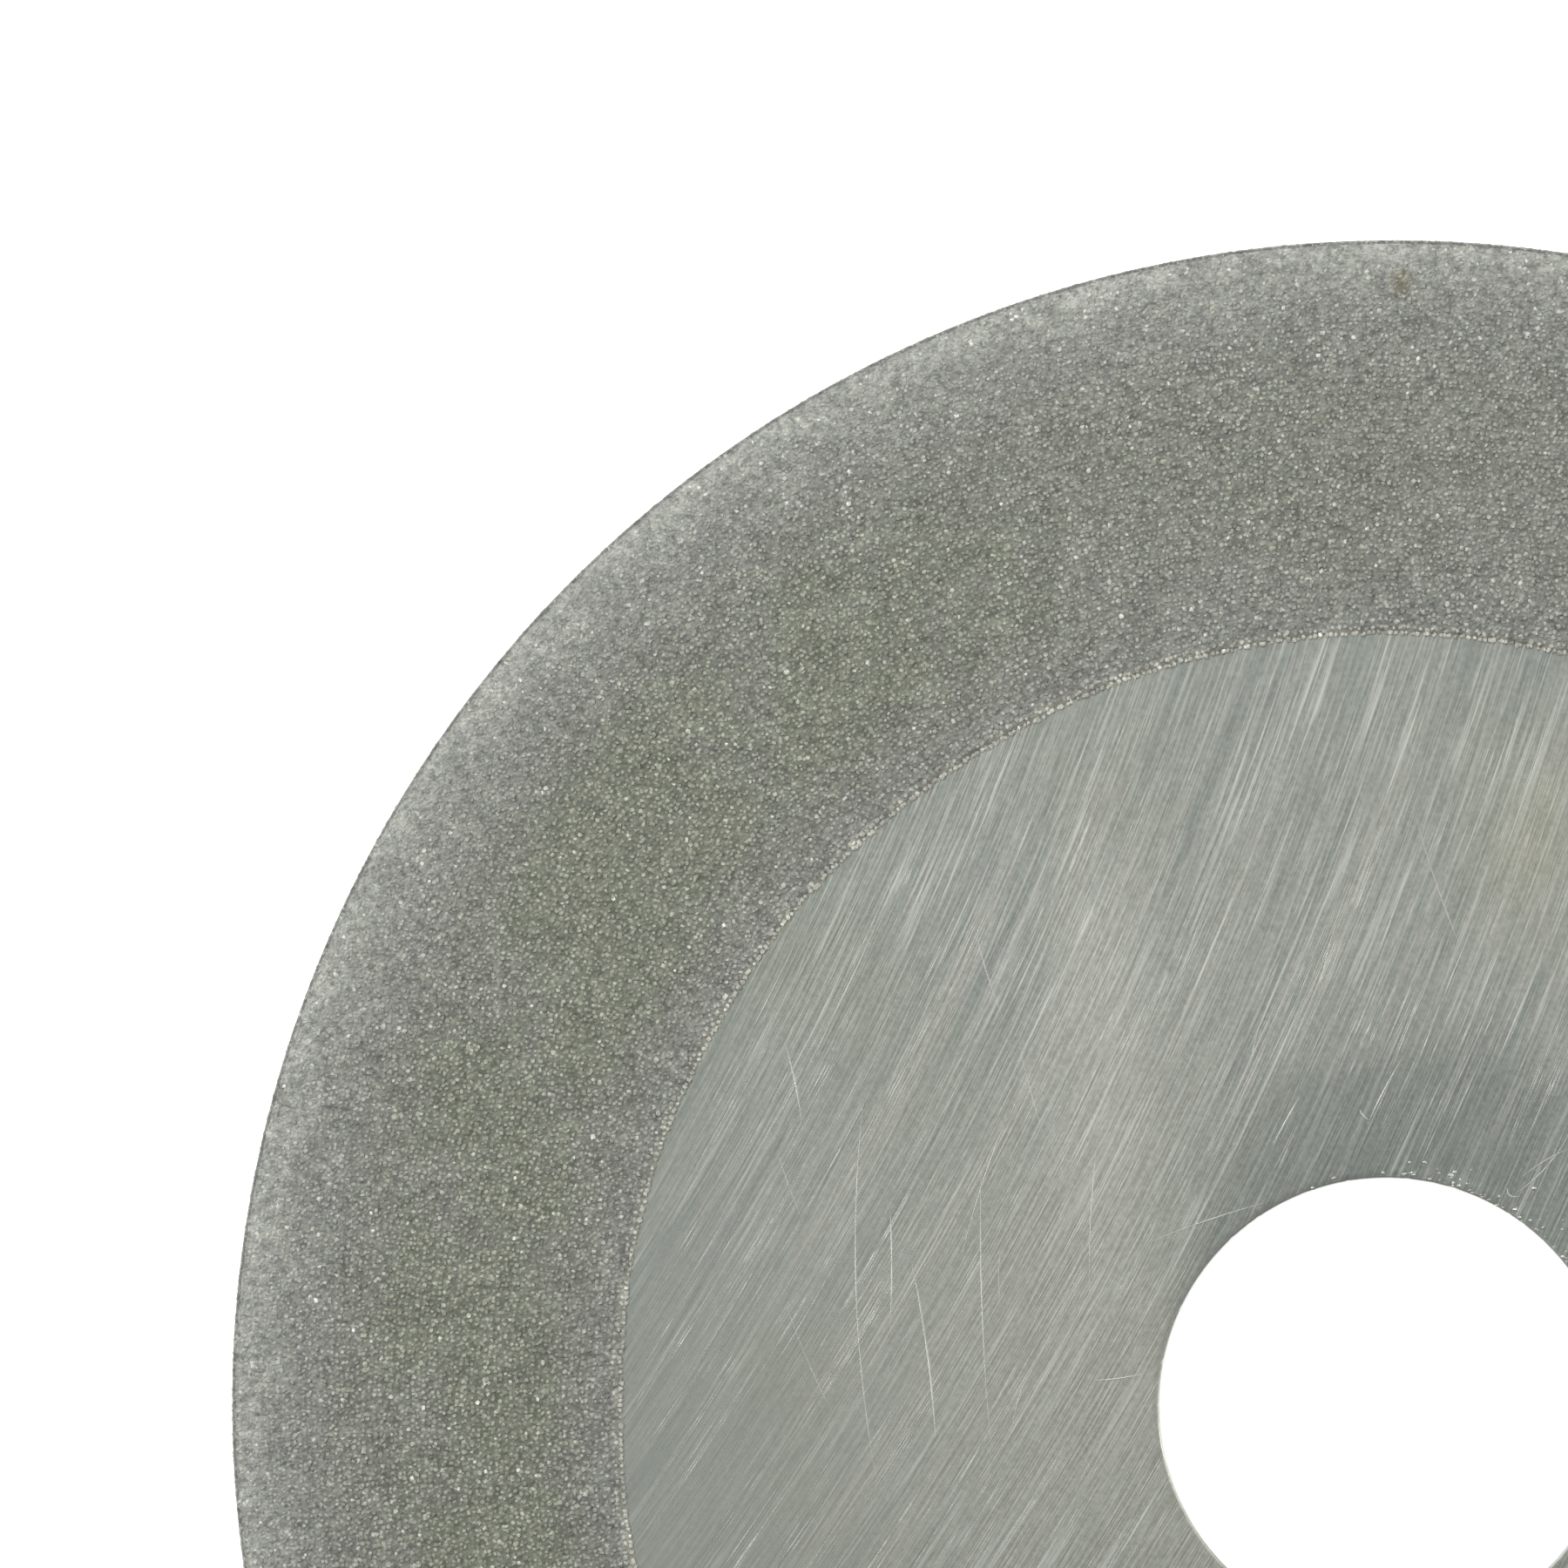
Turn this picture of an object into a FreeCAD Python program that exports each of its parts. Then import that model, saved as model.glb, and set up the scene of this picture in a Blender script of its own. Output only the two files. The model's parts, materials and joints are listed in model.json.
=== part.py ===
"""A flat diamond grinding wheel: a ground steel plate with a ring of nickel-bonded diamond grit.

Lengths are in millimetres. The origin is on the bore's axis, in the back face, and +Z points out
of the front face, which carries the grit. Each piece of the wheel has a function of its own.
"""

import FreeCAD, Part
import math
import os

INCH = 25.4

# Driving dimensions of the wheel.
OUTER_D = 4.5 * INCH  # over the tips of the crystals on the rim
BORE_D = 0.875 * INCH
HUB_D = 3.0 * INCH  # the bare steel inside the coated ring
PLATE_T = INCH / 16

# The front edges. The blanking tool draws the face down towards the bore and towards the rim,
# and then rounds the corner itself. The back edges are nearly sharp.
BORE_ROLL_W = 3.0
BORE_ROLL_DROP = 0.12
RIM_ROLL_W = 6.0
RIM_ROLL_DROP = 0.2
CORNER_R = 0.15
BACK_BREAK = 0.08

# The nickel deposit. The ring is etched first. The nickel grows thicker near the rim, where the
# plating current crowds.
ETCH_DEPTH = 0.02
BOND_T = 0.12
RIM_BOND_T = 0.15
MASK_ROUND_R = 0.05
BACK_MARGIN = 0.2  # the deposit stops this far above the back face

# The crystals are octahedra tacked on a first thin layer of nickel and then buried in the rest.
GRIT_D = 0.18
TACK_T = 0.01
FACE_GRIT_COUNT = 600
RIM_GRIT_COUNT = 72
GRIT_EDGE_GAP = 0.35  # least distance from a crystal to the mask line or to the rim's corner

BORE_R = BORE_D / 2
HUB_R = HUB_D / 2
CORE_R = OUTER_D / 2 - GRIT_D - TACK_T
RING_Z = PLATE_T - ETCH_DEPTH
RIM_ROLL_START = CORE_R - RIM_ROLL_W
RIM_CORNER_START = CORE_R - CORNER_R
RIM_CORNER_Z = RING_Z - RIM_ROLL_DROP
GOLDEN_TURN = math.pi * (3 - math.sqrt(5))

Z_AXIS = FreeCAD.Vector(0, 0, 1)


def in_section(radius, height):
    """A point of a turned profile, which is drawn in the XZ plane."""
    return FreeCAD.Vector(radius, 0, height)


def straight(start, end):
    return Part.makeLine(start, end)


def corner_arc(start, centre, end):
    """The arc about centre from start to end, through the middle of the angle between them."""
    towards_middle = (start - centre) + (end - centre)
    towards_middle.normalize()
    middle = centre + towards_middle * start.distanceToPoint(centre)
    return Part.Arc(start, middle, end).toShape()


def roll_arc(flat_end, low_end):
    """The shallow arc that leaves a flat face level at flat_end and drops to low_end.

    Halfway along, such an arc has dropped by a quarter.
    """
    middle_r = (flat_end.x + low_end.x) / 2
    middle_z = flat_end.z + (low_end.z - flat_end.z) / 4
    return Part.Arc(flat_end, in_section(middle_r, middle_z), low_end).toShape()


def turned(edges):
    """The solid of revolution of a closed profile about the wheel's axis."""
    profile = Part.Face(Part.Wire(edges))
    return profile.revolve(FreeCAD.Vector(0, 0, 0), Z_AXIS, 360)


def steel_core():
    """The punched plate, with its ring etched a little below the hub."""
    bore_corner_z = PLATE_T - BORE_ROLL_DROP - CORNER_R
    bore_back = in_section(BORE_R, BACK_BREAK)
    bore_front = in_section(BORE_R, bore_corner_z)
    bore_corner = in_section(BORE_R + CORNER_R, bore_corner_z)
    bore_roll_low = in_section(BORE_R + CORNER_R, PLATE_T - BORE_ROLL_DROP)
    hub_start = in_section(BORE_R + BORE_ROLL_W, PLATE_T)
    hub_end = in_section(HUB_R, PLATE_T)
    ring_start = in_section(HUB_R, RING_Z)
    ring_end = in_section(RIM_ROLL_START, RING_Z)
    rim_roll_low = in_section(RIM_CORNER_START, RIM_CORNER_Z)
    rim_corner = in_section(RIM_CORNER_START, RIM_CORNER_Z - CORNER_R)
    rim_front = in_section(CORE_R, RIM_CORNER_Z - CORNER_R)
    rim_back = in_section(CORE_R, BACK_BREAK)
    back_outer = in_section(CORE_R - BACK_BREAK, 0)
    back_inner = in_section(BORE_R + BACK_BREAK, 0)
    return turned([
        straight(bore_back, bore_front),
        corner_arc(bore_front, bore_corner, bore_roll_low),
        roll_arc(hub_start, bore_roll_low),
        straight(hub_start, hub_end),
        straight(hub_end, ring_start),
        straight(ring_start, ring_end),
        roll_arc(ring_end, rim_roll_low),
        corner_arc(rim_roll_low, rim_corner, rim_front),
        straight(rim_front, rim_back),
        straight(rim_back, back_outer),
        straight(back_outer, back_inner),
        straight(back_inner, bore_back),
    ])


def solid_bond():
    """The deposit before it has seats for the grit: over the ring and down the rim's wall."""
    top_z = RING_Z + BOND_T
    mask_foot = in_section(HUB_R, RING_Z)
    mask_wall = in_section(HUB_R, top_z - MASK_ROUND_R)
    mask_round = in_section(HUB_R + MASK_ROUND_R, top_z - MASK_ROUND_R)
    face_start = in_section(HUB_R + MASK_ROUND_R, top_z)
    face_end = in_section(RIM_ROLL_START, top_z)
    roll_low = in_section(RIM_CORNER_START, RIM_CORNER_Z + RIM_BOND_T)
    corner = in_section(RIM_CORNER_START, RIM_CORNER_Z - CORNER_R)
    corner_end = in_section(CORE_R + RIM_BOND_T, RIM_CORNER_Z - CORNER_R)
    wall_foot = in_section(CORE_R + RIM_BOND_T, BACK_MARGIN + RIM_BOND_T)
    plate_foot = in_section(CORE_R, BACK_MARGIN)
    plate_wall = in_section(CORE_R, RIM_CORNER_Z - CORNER_R)
    plate_low = in_section(RIM_CORNER_START, RIM_CORNER_Z)
    plate_face = in_section(RIM_ROLL_START, RING_Z)
    return turned([
        straight(mask_foot, mask_wall),
        corner_arc(mask_wall, mask_round, face_start),
        straight(face_start, face_end),
        roll_arc(face_end, roll_low),
        corner_arc(roll_low, corner, corner_end),
        straight(corner_end, wall_foot),
        straight(wall_foot, plate_foot),
        straight(plate_foot, plate_wall),
        corner_arc(plate_wall, corner, plate_low),
        roll_arc(plate_face, plate_low),
        straight(plate_face, mask_foot),
    ])


def octahedron():
    """A crystal about the origin, with its six tips on the axes."""
    half = GRIT_D / 2
    waist = [
        FreeCAD.Vector(half, 0, 0),
        FreeCAD.Vector(0, half, 0),
        FreeCAD.Vector(-half, 0, 0),
        FreeCAD.Vector(0, -half, 0),
    ]
    faces = []
    for quarter in range(4):
        start = waist[quarter]
        end = waist[(quarter + 1) % 4]
        for tip_z in (half, -half):
            tip = FreeCAD.Vector(0, 0, tip_z)
            faces.append(Part.Face(Part.makePolygon([tip, start, end, tip])))
    return Part.Solid(Part.Shell(faces))


def placed(crystal, radius, height, angle, turn):
    """A copy of a crystal, turned about its own axis and set at a place round the wheel."""
    copy = crystal.copy()
    copy.rotate(FreeCAD.Vector(0, 0, 0), Z_AXIS, math.degrees(turn))
    copy.translate(FreeCAD.Vector(radius * math.cos(angle), radius * math.sin(angle), height))
    return copy


def plate_top(radius):
    """The height of the ring's steel at a radius, under the deposit."""
    share = max(0.0, (radius - RIM_ROLL_START) / (RIM_CORNER_START - RIM_ROLL_START))
    return RING_Z - RIM_ROLL_DROP * share**2


def face_grit():
    """Crystals spread evenly over the front ring along a golden-angle spiral."""
    crystal = octahedron()
    inner = HUB_R + GRIT_EDGE_GAP
    outer = RIM_CORNER_START - GRIT_EDGE_GAP
    crystals = []
    for index in range(FACE_GRIT_COUNT):
        share = (index + 0.5) / FACE_GRIT_COUNT
        radius = math.sqrt(inner**2 + (outer**2 - inner**2) * share)
        angle = index * GOLDEN_TURN
        height = plate_top(radius) + TACK_T + GRIT_D / 2
        crystals.append(placed(crystal, radius, height, angle, angle / 2))
    return crystals


def rim_grit():
    """Crystals round the rim's wall, each with a tip on the wheel's outer diameter."""
    crystal = octahedron()
    wall_middle = (RIM_CORNER_Z - CORNER_R + BACK_MARGIN + RIM_BOND_T) / 2
    crystals = []
    for index in range(RIM_GRIT_COUNT):
        angle = 2 * math.pi * index / RIM_GRIT_COUNT
        crystals.append(placed(crystal, OUTER_D / 2 - GRIT_D / 2, wall_middle, angle, angle))
    return crystals


def export(name, shape):
    shape.exportStep(os.path.join("parts", name + ".step"))
    print(name, len(shape.Solids), "solids", round(shape.Volume, 3), "mm3", shape.isValid())


def main():
    os.makedirs("parts", exist_ok=True)
    grit = Part.Compound(face_grit() + rim_grit())
    export("steel_core", steel_core())
    export("nickel_bond", solid_bond().cut(grit))
    export("diamond_grit", grit)


main()
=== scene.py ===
"""A diamond grinding wheel on a white table: ground steel plate, nickel coat and diamond grit.

Everything is in metres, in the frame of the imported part: the origin is on the bore's axis in the
back face, and +Z points out of the coated front face.
"""

import json
import math

import bpy
import numpy as np
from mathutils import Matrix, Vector


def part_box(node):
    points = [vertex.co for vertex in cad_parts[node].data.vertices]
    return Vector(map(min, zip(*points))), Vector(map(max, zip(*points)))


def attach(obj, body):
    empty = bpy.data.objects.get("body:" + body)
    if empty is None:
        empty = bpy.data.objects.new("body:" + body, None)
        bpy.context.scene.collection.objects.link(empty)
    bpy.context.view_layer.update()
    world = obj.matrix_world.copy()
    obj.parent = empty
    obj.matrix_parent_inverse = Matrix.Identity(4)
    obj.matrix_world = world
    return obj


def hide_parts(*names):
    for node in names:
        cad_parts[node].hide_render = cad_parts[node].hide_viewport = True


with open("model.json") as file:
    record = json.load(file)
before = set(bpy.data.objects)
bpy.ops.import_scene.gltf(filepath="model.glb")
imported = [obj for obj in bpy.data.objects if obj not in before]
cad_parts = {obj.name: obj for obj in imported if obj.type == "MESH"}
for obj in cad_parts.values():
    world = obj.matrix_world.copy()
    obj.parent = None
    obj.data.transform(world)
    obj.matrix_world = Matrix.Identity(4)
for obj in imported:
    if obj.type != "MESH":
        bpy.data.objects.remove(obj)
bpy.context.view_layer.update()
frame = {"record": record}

MM = 0.001
TURN = 2 * math.pi

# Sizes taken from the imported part.
PLATE_HIGH = np.array(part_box("steel_core")[1])
COAT_LOW, COAT_HIGH = (np.array(end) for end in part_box("nickel_bond"))
GRIT_HIGH = np.array(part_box("diamond_grit")[1])
MOUNTS = {mount["name"]: mount for mount in frame["record"]["mounts"]}
BORE_R = MOUNTS["bore"]["dims"]["r_mm"] * MM
PLATE_T = PLATE_HIGH[2]
PLATE_R = PLATE_HIGH[0]
WHEEL_R = GRIT_HIGH[0]
COAT_R = COAT_HIGH[0]
BACK_MARGIN = COAT_LOW[2]

# Sizes of the design that the boxes don't give.
HUB_R = 38.1 * MM
ETCH_DEPTH = 0.02 * MM
RING_Z = PLATE_T - ETCH_DEPTH
BOND_T = COAT_HIGH[2] - RING_Z
RIM_BOND_T = COAT_R - PLATE_R
BORE_ROLL_W, BORE_ROLL_DROP = 3.0 * MM, 0.12 * MM
RIM_ROLL_W, RIM_ROLL_DROP = 6.0 * MM, 0.2 * MM
CORNER_R = 0.15 * MM
BACK_BREAK = 0.08 * MM
TACK_T = 0.01 * MM
RIM_ROLL_START = PLATE_R - RIM_ROLL_W
RIM_CORNER_START = PLATE_R - CORNER_R
RIM_CORNER_Z = RING_Z - RIM_ROLL_DROP

# The dip at the bore, which the grinder missed: a circle that lies off the bore's axis, and how
# far in from that circle the dip would be at its full depth.
MISSED_CENTRE = (2.4 * MM, 5.4 * MM)
MISSED_R = BORE_R + 2.8 * MM
MISSED_W = 7.8 * MM

# The grinder's far centre, and the radius of the arcs that it has left on the hub.
GRINDER_CENTRE = (-177 * MM, 94 * MM, 0.0)
GRINDER_R = 200 * MM

# The camera: its place from the middle of the front face, in its own turned axes, its tilt from
# straight down and the side that it is tilted to.
VIEW_FROM = (-29.47 * MM, 30.43 * MM, 571.5 * MM)
VIEW_TILT, VIEW_SIDE = math.radians(6.03), math.radians(-10.0)
FOCAL_MM, SENSOR_MM = 268.2, 36.0


# ---------------------------------------------------------------- meshes


def mesh_object(name, points, faces, smooth_below=None):
    """An object at the origin from arrays of points and of equal-sided faces.

    smooth_below is the angle, in radians, under which neighbouring faces shade as one surface.
    """
    sides = faces.shape[1]
    mesh = bpy.data.meshes.new(name)
    mesh.vertices.add(len(points))
    mesh.vertices.foreach_set("co", points.astype(np.float32).ravel())
    mesh.loops.add(faces.size)
    mesh.loops.foreach_set("vertex_index", faces.astype(np.int32).ravel())
    mesh.polygons.add(len(faces))
    mesh.polygons.foreach_set("loop_start", np.arange(0, faces.size, sides, dtype=np.int32))
    mesh.update(calc_edges=True)
    mesh.validate()
    if smooth_below is None:
        mesh.shade_flat()
    else:
        mesh.shade_smooth()
        mesh.set_sharp_from_angle(angle=smooth_below)
    piece = bpy.data.objects.new(name, mesh)
    bpy.context.scene.collection.objects.link(piece)
    return piece


def turned_ring(name, radii, heights, smooth_below):
    """A closed ring whose section may change on the way round.

    Row i of radii and heights is the section at angle a = TURN * i / rows, counterclockwise seen
    along the wheel's edge, so a point is (r cos a, r sin a, h).
    """
    rows, columns = radii.shape
    angle = np.linspace(0, TURN, rows, endpoint=False)[:, None]
    points = np.stack([radii * np.cos(angle), radii * np.sin(angle), heights], axis=-1)
    row = np.arange(rows)[:, None] * columns
    next_row = np.roll(row, -1, axis=0)
    column = np.arange(columns)[None, :]
    next_column = np.roll(column, -1, axis=1)
    quads = [row + column, next_row + column, next_row + next_column, row + next_column]
    faces = np.stack(np.broadcast_arrays(*quads), axis=-1).reshape(-1, 4)
    return mesh_object(name, points.reshape(-1, 3), faces, smooth_below)


def waves(x, y, shortest, longest, count, seed):
    """A smooth random height of about unit size: a sum of plane waves in random directions."""
    rng = np.random.default_rng(seed)
    total = np.zeros(np.broadcast(x, y).shape)
    for _ in range(count):
        length = shortest * (longest / shortest) ** rng.random()
        heading, phase = rng.random(2) * TURN
        along = x * math.cos(heading) + y * math.sin(heading)
        total += np.cos(TURN * along / length + phase)
    return total * math.sqrt(2 / count)


def mask_radius(angle):
    """The radius of the coat's inner edge: the nickel creeps a little under a hand-laid mask."""
    creep, sway, fringe = 0.2 * MM, 0.06 * MM, 0.025 * MM
    x, y = HUB_R * np.cos(angle), HUB_R * np.sin(angle)
    broad = waves(x, y, 8 * MM, 40 * MM, count=12, seed=3)
    ragged = waves(x, y, 0.5 * MM, 1.5 * MM, count=24, seed=4)
    return HUB_R - creep + sway * broad + fringe * ragged


# ------------------------------------------------- sections, in the plane of radius and height


def line(start, end, steps):
    """Points of a straight stretch of a section, both ends among them."""
    share = np.linspace(0, 1, steps + 1)[:, None]
    return np.array(start) * (1 - share) + np.array(end) * share


def corner(centre, radius, start, end, steps):
    """Points of an arc about centre, from angle start to angle end in degrees."""
    angle = np.radians(np.linspace(start, end, steps + 1))
    return np.stack([centre[0] + radius * np.cos(angle), centre[1] + radius * np.sin(angle)], axis=1)


def roll(level, low, steps):
    """Points of a face that leaves the point level and falls, as a parabola, to the point low."""
    share = np.linspace(0, 1, steps + 1)
    across = level[0] + (low[0] - level[0]) * share
    return np.stack([across, level[1] + (low[1] - level[1]) * share**2], axis=1)


def closed(*stretches):
    """One closed section from stretches that each begin where the one before ends."""
    return np.concatenate([points[:-1] for points in stretches])


def with_mask_edge(section, angle, reach):
    """The section's radii at each angle, drawn to the mask's edge near the hub's radius."""
    weight = np.clip(1 - np.abs(section[:, 0] - HUB_R) / reach, 0, 1)
    return section[None, :, 0] + (mask_radius(angle) - HUB_R)[:, None] * weight


def nicks(angle, count, depth, width, seed):
    """How far an edge is knocked back at each angle: rounded notches at random places.

    A notch is its depth times e to minus the square of the distance from its middle, in widths.
    """
    rng = np.random.default_rng(seed)
    places = rng.random(count) * TURN
    depths = depth * rng.random(count) ** 2
    widths = width * (0.4 + rng.random(count))
    apart = (angle[:, None] - places + math.pi) % TURN - math.pi
    return (depths * np.exp(-((apart * BORE_R / widths) ** 2))).max(axis=1)


# ---------------------------------------------------------------- the plate


def bore_drop(x, y):
    """How far the plate's face is drawn down near the bore, where the punch went in.

    The grinder has left more of the dip on one side: it is a parabola of the distance inside a
    circle that lies off the bore's axis.
    """
    off_centre = np.hypot(x - MISSED_CENTRE[0], y - MISSED_CENTRE[1])
    share = np.clip((MISSED_R - off_centre) / MISSED_W, 0, 1)
    return BORE_ROLL_DROP * share**2


def steel_plate():
    """The punched and ground plate: its section, turned, with nicks round both ends of the bore.

    The bore's wall is smooth where the punch sheared it and a little wider and rougher where it
    tore, which is a constant and a sum of short waves. The step under the coat follows the
    mask's edge.
    """
    rows = 1080
    tear_z, tear_ramp = 0.62 * PLATE_T, 0.15 * MM
    tear_depth, tear_grain = 0.03 * MM, 0.008 * MM
    rim_z = RIM_CORNER_Z - CORNER_R
    section = closed(
        line((BORE_R + BACK_BREAK, 0), (PLATE_R - BACK_BREAK, 0), 6),
        line((PLATE_R - BACK_BREAK, 0), (PLATE_R, BACK_BREAK), 2),
        line((PLATE_R, BACK_BREAK), (PLATE_R, rim_z), 3),
        corner((RIM_CORNER_START, rim_z), CORNER_R, 0, 90, 4),
        roll((RIM_ROLL_START, RING_Z), (RIM_CORNER_START, RIM_CORNER_Z), 4)[::-1],
        line((RIM_ROLL_START, RING_Z), (HUB_R, RING_Z), 2),
        line((HUB_R, RING_Z), (HUB_R, PLATE_T), 1),
        line((HUB_R, PLATE_T), (BORE_R + 2 * BORE_ROLL_W, PLATE_T), 7),
        line((BORE_R + 2 * BORE_ROLL_W, PLATE_T), (BORE_R + CORNER_R, PLATE_T), 20),
        corner((BORE_R + CORNER_R, PLATE_T - CORNER_R), CORNER_R, 90, 180, 6),
        line((BORE_R, PLATE_T - CORNER_R), (BORE_R, tear_z), 3),
        line((BORE_R, tear_z), (BORE_R, BACK_BREAK), 10),
        line((BORE_R, BACK_BREAK), (BORE_R + BACK_BREAK, 0), 2),
    )
    angle = np.linspace(0, TURN, rows, endpoint=False)
    radii = with_mask_edge(section, angle, reach=0.5 * MM)
    x, y = radii * np.cos(angle)[:, None], radii * np.sin(angle)[:, None]
    drawn_down = np.clip((section[:, 1] - tear_z) / (PLATE_T - CORNER_R - tear_z), 0, 1)
    drawn_down = drawn_down * (section[:, 0] < HUB_R - 1 * MM)
    heights = section[None, :, 1] - drawn_down * bore_drop(x, y)
    at_bore = np.clip(1 - (section[:, 0] - BORE_R) / (2 * CORNER_R), 0, 1)
    near_front = np.exp(-(((section[:, 1] - PLATE_T) / (1.5 * CORNER_R)) ** 2))
    near_back = np.exp(-((section[:, 1] / CORNER_R) ** 2))
    front = nicks(angle, count=60, depth=0.05 * MM, width=0.12 * MM, seed=11)
    back = nicks(angle, count=90, depth=0.05 * MM, width=0.2 * MM, seed=12)
    nicked = front[:, None] * near_front + back[:, None] * near_back
    torn = np.clip((tear_z - section[:, 1]) / tear_ramp, 0, 1)
    round_wall = angle[:, None] * BORE_R
    grain = waves(round_wall, section[None, :, 1], 0.25 * MM, 0.9 * MM, count=20, seed=13)
    tear = torn * (tear_depth + tear_grain * grain)
    radii = radii + at_bore * (nicked + tear)
    piece = turned_ring("steel_plate", radii, heights, smooth_below=math.radians(40))
    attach(piece, "root")
    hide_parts("steel_core")
    return piece


# ---------------------------------------------------------------- the coat


def nickel_coat():
    """The nickel over the ring and down the rim: its section, turned, with a slow swell on top.

    The swell is a sum of waves 0.6 to 5 mm long, since nickel grows unevenly over the grit. Its
    face lies a little under its full height, which it reaches only where it climbs a crystal.
    """
    rows = 900
    between_crystals, swell_height = 0.02 * MM, 0.004 * MM
    top_z = RING_Z + BOND_T - between_crystals
    ramp_w, lip_t = 0.35 * MM, 0.03 * MM
    rim_z = RIM_CORNER_Z - CORNER_R
    outer_r = PLATE_R + RIM_BOND_T
    section = closed(
        line((HUB_R, RING_Z), (RIM_ROLL_START, RING_Z), 2),
        roll((RIM_ROLL_START, RING_Z), (RIM_CORNER_START, RIM_CORNER_Z), 2),
        corner((RIM_CORNER_START, rim_z), CORNER_R, 90, 0, 2),
        line((PLATE_R, rim_z), (PLATE_R, BACK_MARGIN), 1),
        line((PLATE_R, BACK_MARGIN), (outer_r, BACK_MARGIN + RIM_BOND_T), 1),
        line((outer_r, BACK_MARGIN + RIM_BOND_T), (outer_r, rim_z), 3),
        corner((RIM_CORNER_START, rim_z), CORNER_R + RIM_BOND_T, 0, 90, 6),
        roll((RIM_ROLL_START, top_z), (RIM_CORNER_START, RIM_CORNER_Z + RIM_BOND_T), 26)[::-1],
        line((RIM_ROLL_START, top_z), (HUB_R + ramp_w, top_z), 55),
        roll((HUB_R + ramp_w, top_z), (HUB_R, PLATE_T + lip_t), 4),
        line((HUB_R, PLATE_T + lip_t), (HUB_R, RING_Z), 1),
    )
    angle = np.linspace(0, TURN, rows, endpoint=False)
    radii = with_mask_edge(section, angle, reach=1.5 * MM)
    x, y = radii * np.cos(angle)[:, None], radii * np.sin(angle)[:, None]
    on_top = np.clip((section[:, 1] - RIM_CORNER_Z) / RIM_BOND_T, 0, 1)
    on_top = on_top * (section[:, 0] > HUB_R + ramp_w)
    swell = swell_height * waves(x, y, 0.6 * MM, 5 * MM, count=30, seed=21)
    heights = np.minimum(section[None, :, 1] + on_top * swell, GRIT_HIGH[2])
    piece = turned_ring("nickel_coat", radii, heights, smooth_below=math.radians(50))
    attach(piece, "root")
    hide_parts("nickel_bond")
    return piece


# ---------------------------------------------------------------- the grit

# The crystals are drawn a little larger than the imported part's 0.18 mm, and so further apart, so
# that each one shows. GRIT_TALL is the most that one stands above the tack layer.
GRIT_PITCH = 0.27 * MM
GRIT_D = 0.22 * MM
GRIT_TALL = 0.175 * MM
GRIT_SECTORS = 8


def grit_places(rng):
    """Rows of places along the plate's skin, from the mask's edge over the rim and down its wall.

    Returns each place's angle, radius and height, and the tilt of the skin's normal from +Z
    towards the rim. Rows are a pitch apart, and so are the places in a row, all shaken by a share
    of the pitch. The first row hangs over the mask's edge.
    """
    face = RIM_CORNER_START - HUB_R
    bend = CORNER_R * math.pi / 2
    wall = RIM_CORNER_Z - CORNER_R - BACK_MARGIN - RIM_BOND_T
    overhang, most_shaken, mask_reach = GRIT_PITCH / 6, 0.34, 1.5 * MM
    rows = np.arange(-overhang, face + bend + wall, GRIT_PITCH)
    row_r = HUB_R + np.minimum(rows, face)
    counts = np.rint(TURN * row_r / GRIT_PITCH).astype(int)
    total = counts.sum()
    shake = rng.uniform(-most_shaken, most_shaken, (2, total))
    in_row = np.arange(total) - np.repeat(np.cumsum(counts) - counts, counts)
    angle = TURN * (in_row + shake[0] + rng.random(len(rows)).repeat(counts)) / counts.repeat(counts)
    along = rows.repeat(counts) + shake[1] * GRIT_PITCH * (rows > 0).repeat(counts)
    share = np.clip((along - (RIM_ROLL_START - HUB_R)) / (RIM_CORNER_START - RIM_ROLL_START), 0, 1)
    on_bend = np.clip((along - face) / CORNER_R, 0, math.pi / 2)
    down_wall = np.maximum(along - face - bend, 0)
    radius = HUB_R + np.minimum(along, face) + CORNER_R * np.sin(on_bend)
    height = RING_Z - RIM_ROLL_DROP * share**2 - CORNER_R * (1 - np.cos(on_bend)) - down_wall
    slope = np.arctan(2 * RIM_ROLL_DROP * share / (RIM_CORNER_START - RIM_ROLL_START))
    near_mask = np.clip(1 - along / mask_reach, 0, 1)
    radius = radius + (mask_radius(angle) - HUB_R) * near_mask
    return angle, radius, height, np.maximum(slope, on_bend)


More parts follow.
